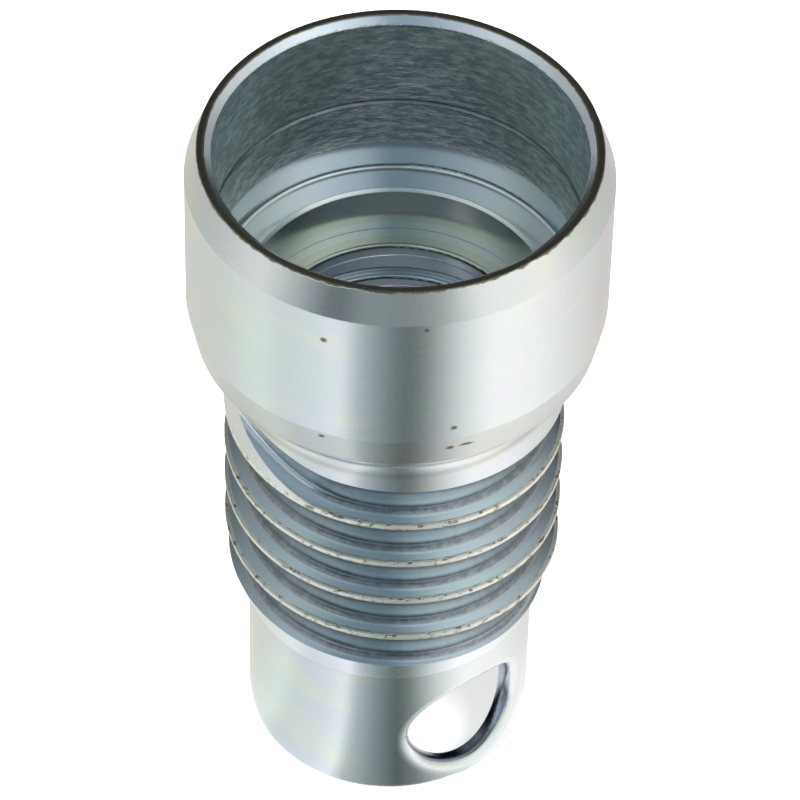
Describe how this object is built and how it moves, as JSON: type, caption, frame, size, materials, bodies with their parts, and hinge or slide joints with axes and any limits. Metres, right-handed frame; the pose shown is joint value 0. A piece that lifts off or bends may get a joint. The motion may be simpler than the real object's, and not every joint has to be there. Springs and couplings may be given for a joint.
{
  "type": "threaded adapter fitting",
  "caption": "Turned steel adapter fitting with a smooth socket bell, a coarse left-hand barbed thread and a plain sleeve with a cross hole, open right through.",
  "frame": {"origin": "middle of the sleeve's end face, where the fitting stands", "axes": "+Z along the bore towards the bell, -Y towards the front of the picture, +X to its right"},
  "size_m": [0.0483, 0.0482, 0.0916],
  "materials": {
    "zinc_plated_steel": "satin zinc plating over turned steel"
  },
  "bodies": {
    "root": {"adapter_body": "zinc_plated_steel"}
  },
  "joints": []
}
